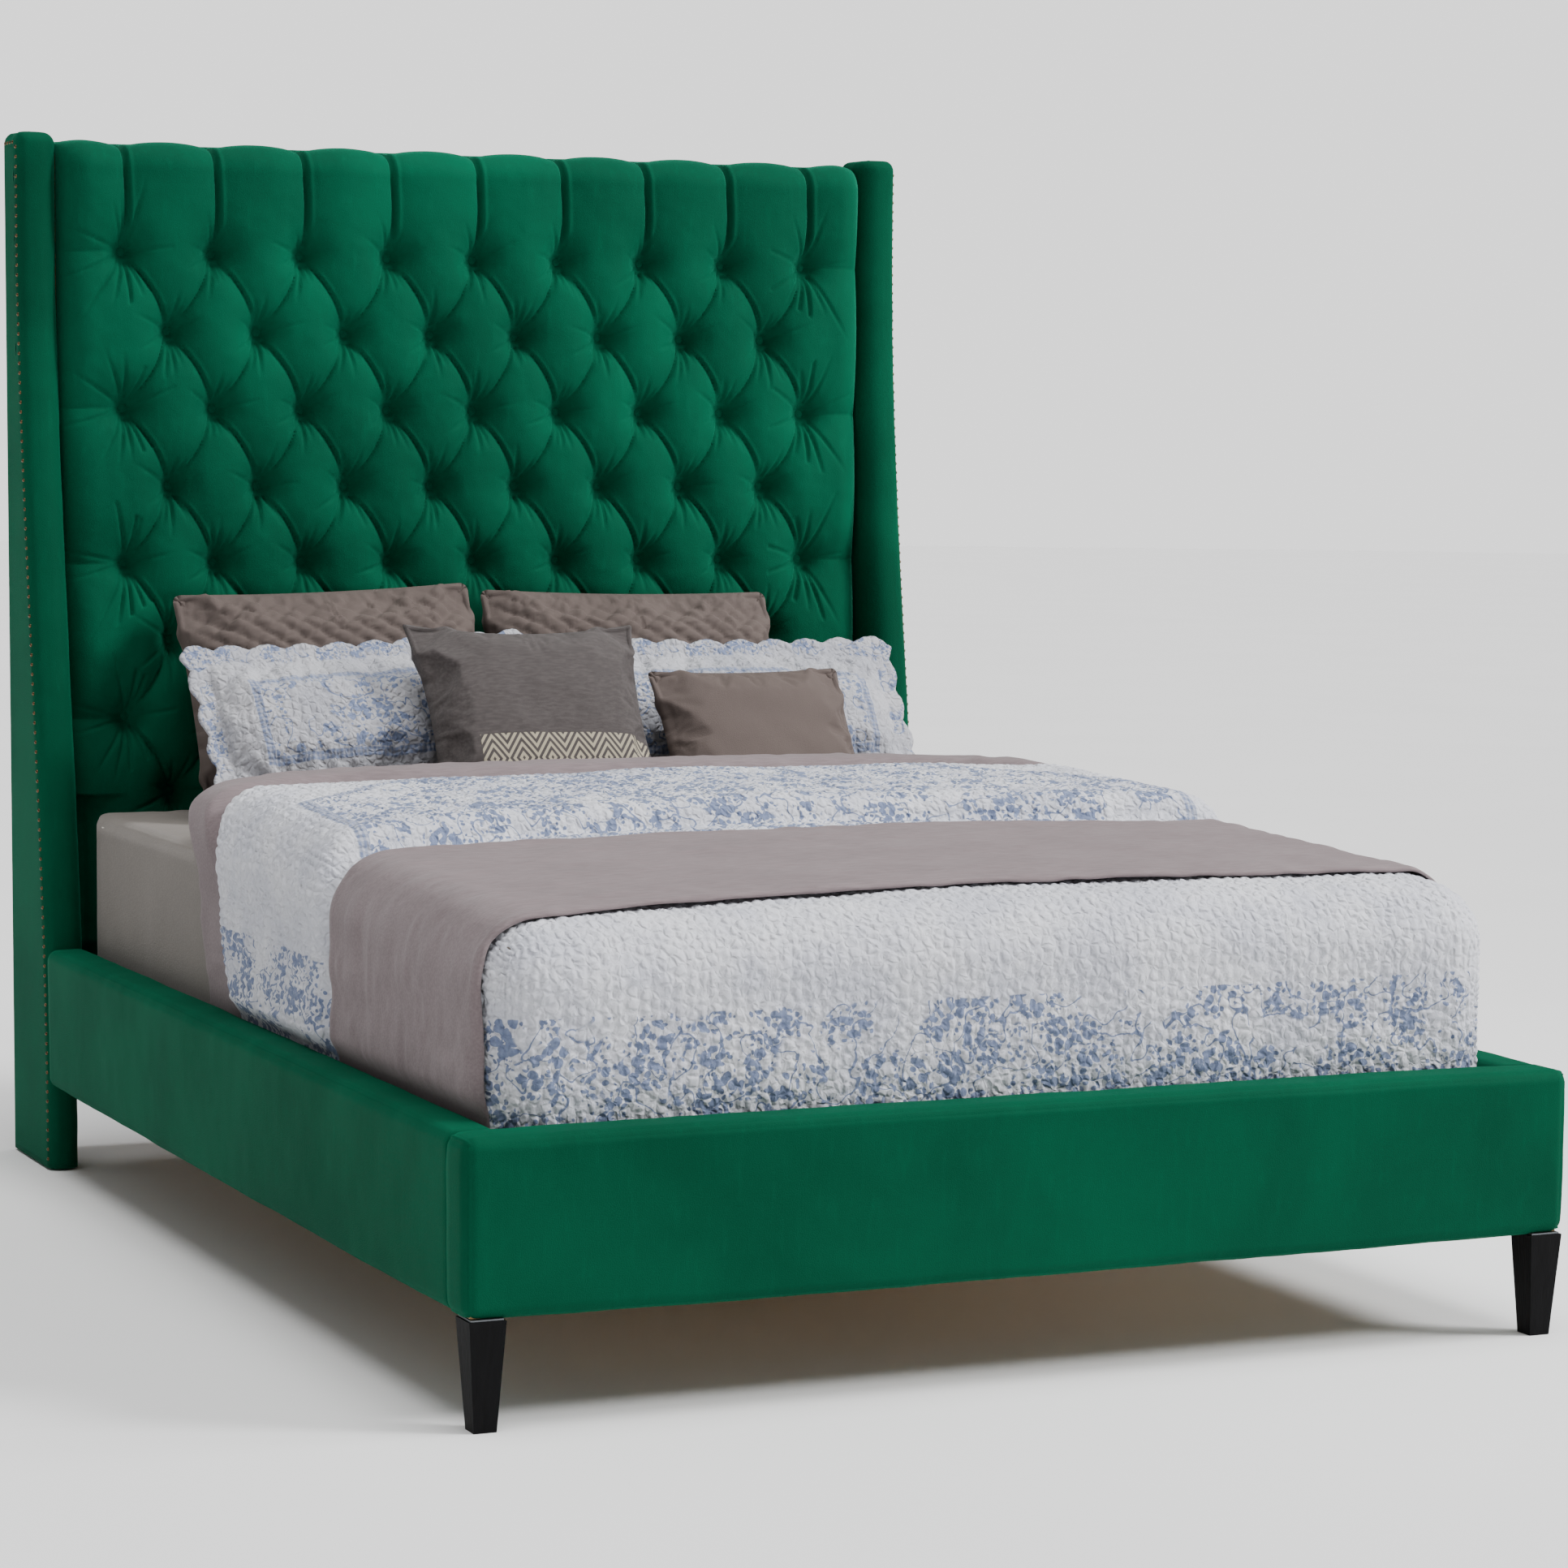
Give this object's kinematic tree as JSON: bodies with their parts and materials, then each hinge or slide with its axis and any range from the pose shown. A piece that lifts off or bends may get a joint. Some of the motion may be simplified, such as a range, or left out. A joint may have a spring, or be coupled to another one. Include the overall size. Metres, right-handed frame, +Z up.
{
  "type": "upholstered bed",
  "caption": "Queen-size bed: tall diamond-tufted headboard between padded wings, upholstered rails and footboard, slatted base, and a made-up mattress with pillows.",
  "frame": {"origin": "on the floor, in the middle of the bed's outline in plan", "axes": "+Z up, +Y towards the headboard, +X to the right seen from the foot"},
  "size_m": [1.7, 2.33, 1.806],
  "materials": {
    "velvet": "short-pile green velvet with a soft sheen",
    "back_cloth": "plain dark green woven lining",
    "pine": "planed, unfinished",
    "slat_wood": "planed, unfinished",
    "plywood": "sanded plywood",
    "black_wood": "black satin lacquer",
    "zinc_steel": "zinc plated",
    "black_plastic": "moulded",
    "ticking": "woven mattress ticking",
    "fitted_cotton": "taupe cotton",
    "taupe_cloth": "taupe brushed cotton",
    "quilt_cotton": "white quilted cotton with a blue print",
    "taupe_velvet": "taupe short-pile velvet"
  },
  "bodies": {
    "bed": {"headboard_tufted_pad": "velvet", "wing_cover_left": "velvet", "wing_cover_right": "velvet", "side_rail_cover_left": "velvet", "side_rail_cover_right": "velvet", "footboard_cover": "velvet", "headboard_back_cover": "back_cloth", "headboard_stile_left": "pine", "headboard_stile_right": "pine", "headboard_rail_top": "pine", "headboard_rail_bottom": "pine", "wing_core_left": "pine", "wing_core_right": "pine", "side_rail_board_left": "pine", "side_rail_board_right": "pine", "slat_ledger_left": "pine", "slat_ledger_right": "pine", "footboard_board": "pine", "centre_beam": "pine", "centre_leg_1": "pine", "centre_leg_2": "pine", "centre_leg_3": "pine", "slat_roll": "slat_wood", "headboard_plywood": "plywood", "front_leg_left": "black_wood", "front_leg_right": "black_wood", "wing_bolt_lower_left": "zinc_steel", "wing_bolt_lower_right": "zinc_steel", "wing_bolt_upper_left": "zinc_steel", "wing_bolt_upper_right": "zinc_steel", "bracket_head_left": "zinc_steel", "bracket_head_right": "zinc_steel", "bracket_foot_left": "zinc_steel", "bracket_foot_right": "zinc_steel", "bolt_head_rail_left": "zinc_steel", "bolt_head_rail_right": "zinc_steel", "bolt_head_wing_left": "zinc_steel", "bolt_head_wing_right": "zinc_steel", "bolt_foot_rail_left": "zinc_steel", "bolt_foot_rail_right": "zinc_steel", "bolt_foot_board_left": "zinc_steel", "bolt_foot_board_right": "zinc_steel", "front_leg_plate_left": "zinc_steel", "front_leg_plate_right": "zinc_steel", "wing_glide_left": "black_plastic", "wing_glide_right": "black_plastic", "mattress": "ticking", "fitted_sheet": "fitted_cotton", "duvet": "taupe_cloth", "throw": "taupe_cloth", "cushion_square": "taupe_cloth", "quilt": "quilt_cotton", "sham_left": "quilt_cotton", "sham_right": "quilt_cotton", "pillow_left": "taupe_velvet", "pillow_right": "taupe_velvet", "cushion_small": "taupe_velvet"},
    "levelling_foot_1": {"leveller_1": "zinc_steel"},
    "levelling_foot_2": {"leveller_2": "zinc_steel"},
    "levelling_foot_3": {"leveller_3": "zinc_steel"}
  },
  "joints": [
    {"name": "leveller_1_travel", "type": "slide", "parent": "bed", "child": "levelling_foot_1", "axis": [0, 0, -1], "range_m": [0, 0.012]},
    {"name": "leveller_2_travel", "type": "slide", "parent": "bed", "child": "levelling_foot_2", "axis": [0, 0, -1], "range_m": [0, 0.012]},
    {"name": "leveller_3_travel", "type": "slide", "parent": "bed", "child": "levelling_foot_3", "axis": [0, 0, -1], "range_m": [0, 0.012]}
  ]
}
